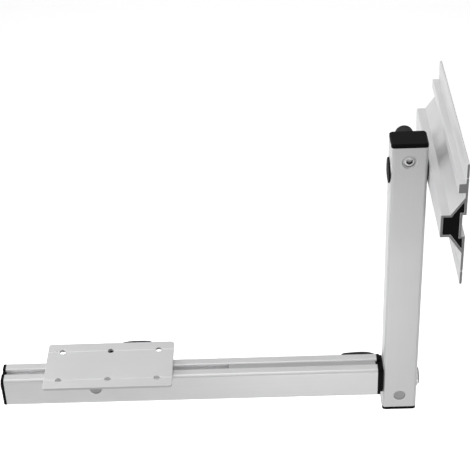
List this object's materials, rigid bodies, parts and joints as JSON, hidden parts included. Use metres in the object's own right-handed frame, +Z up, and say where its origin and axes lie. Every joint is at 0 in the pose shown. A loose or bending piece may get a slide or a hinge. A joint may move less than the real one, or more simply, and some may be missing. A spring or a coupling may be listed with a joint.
{
  "type": "swivel table leg",
  "caption": "Wall-mounted swivel leg for a table: a rail carries a swinging post, a turning arm and a swivelling plate, each held by a clamping lever.",
  "frame": {"origin": "centre of the upper rear land of the wall rail, on the wall plane, in the post's mid plane", "axes": "+X into the wall, +Z up, -Y the side with the access holes; at rest the arm points along -X"},
  "size_m": [0.5932, 0.2472, 0.4568],
  "materials": {
    "extruded_aluminium": "satin anodised",
    "plate_aluminium": "matt anodised",
    "block_aluminium": "machined",
    "black_plastic": "moulded, fine grain",
    "grey_plastic": "matt",
    "dark_steel": "dark oxide",
    "bright_steel": "zinc plated"
  },
  "bodies": {
    "rail_body": {"wall_rail": "extruded_aluminium", "rail_plug_front": "black_plastic", "rail_plug_rear": "black_plastic", "rail_bolt": "bright_steel", "rail_spacer_sleeve": "bright_steel", "upper_pivot_shaft": "bright_steel", "upper_thrust_washer": "black_plastic", "upper_pivot_cap": "black_plastic"},
    "post_body": {"post_tube": "extruded_aluminium", "post_top_cap": "black_plastic", "post_bottom_cap": "black_plastic", "upper_clamp_block": "block_aluminium", "lower_clamp_block": "block_aluminium", "upper_clamp_nut": "bright_steel", "lower_clamp_nut": "bright_steel", "lower_hole_plug": "grey_plastic"},
    "upper_lever_body": {"upper_lever_handle": "black_plastic", "upper_lever_screw": "bright_steel", "upper_lever_washer": "bright_steel"},
    "lower_lever_body": {"lower_lever_handle": "black_plastic", "lower_lever_screw": "bright_steel", "lower_lever_washer": "bright_steel"},
    "arm_body": {"arm_profile": "extruded_aluminium", "arm_left_cap": "black_plastic", "arm_right_cap": "black_plastic", "arm_cap_screw": "dark_steel", "arm_spacer": "black_plastic", "arm_end_block": "block_aluminium", "arm_block_screw_left": "bright_steel", "arm_block_screw_right": "bright_steel", "lower_pivot_shaft": "bright_steel", "lower_retaining_washer": "bright_steel", "lower_retaining_bolt": "dark_steel", "arm_clamp_block": "block_aluminium", "arm_clamp_nut": "bright_steel", "arm_hole_plug": "grey_plastic", "slot_strip": "grey_plastic"},
    "arm_lever_body": {"arm_lever_handle": "black_plastic", "arm_lever_screw": "bright_steel", "arm_lever_washer": "bright_steel"},
    "plate_body": {"mounting_plate": "plate_aluminium", "plate_hub": "bright_steel", "plate_thrust_washer": "black_plastic", "plate_retaining_washer": "bright_steel", "plate_retaining_bolt": "bright_steel"}
  },
  "joints": [
    {"name": "post_swing", "type": "hinge", "parent": "rail_body", "child": "post_body", "pos_m": [-0.0532, 0, -0.0487], "axis": [1, 0, 0], "continuous": true},
    {"name": "arm_turn", "type": "hinge", "parent": "post_body", "child": "arm_body", "pos_m": [-0.0532, 0, -0.3777], "axis": [1, 0, 0], "continuous": true},
    {"name": "plate_swivel", "type": "hinge", "parent": "arm_body", "child": "plate_body", "pos_m": [-0.4427, 0, -0.34345], "axis": [0, 0, 1], "continuous": true},
    {"name": "upper_lever_turn", "type": "hinge", "parent": "post_body", "child": "upper_lever_body", "pos_m": [-0.0532, 0, -0.0287], "axis": [0, 1, 0], "range_deg": [0, 90]},
    {"name": "lower_lever_turn", "type": "hinge", "parent": "post_body", "child": "lower_lever_body", "pos_m": [-0.0532, 0, -0.3977], "axis": [0, 1, 0], "range_deg": [0, 90]},
    {"name": "arm_lever_turn", "type": "hinge", "parent": "arm_body", "child": "arm_lever_body", "pos_m": [-0.4617, 0, -0.37005], "axis": [0, 1, 0], "range_deg": [0, 90]}
  ]
}
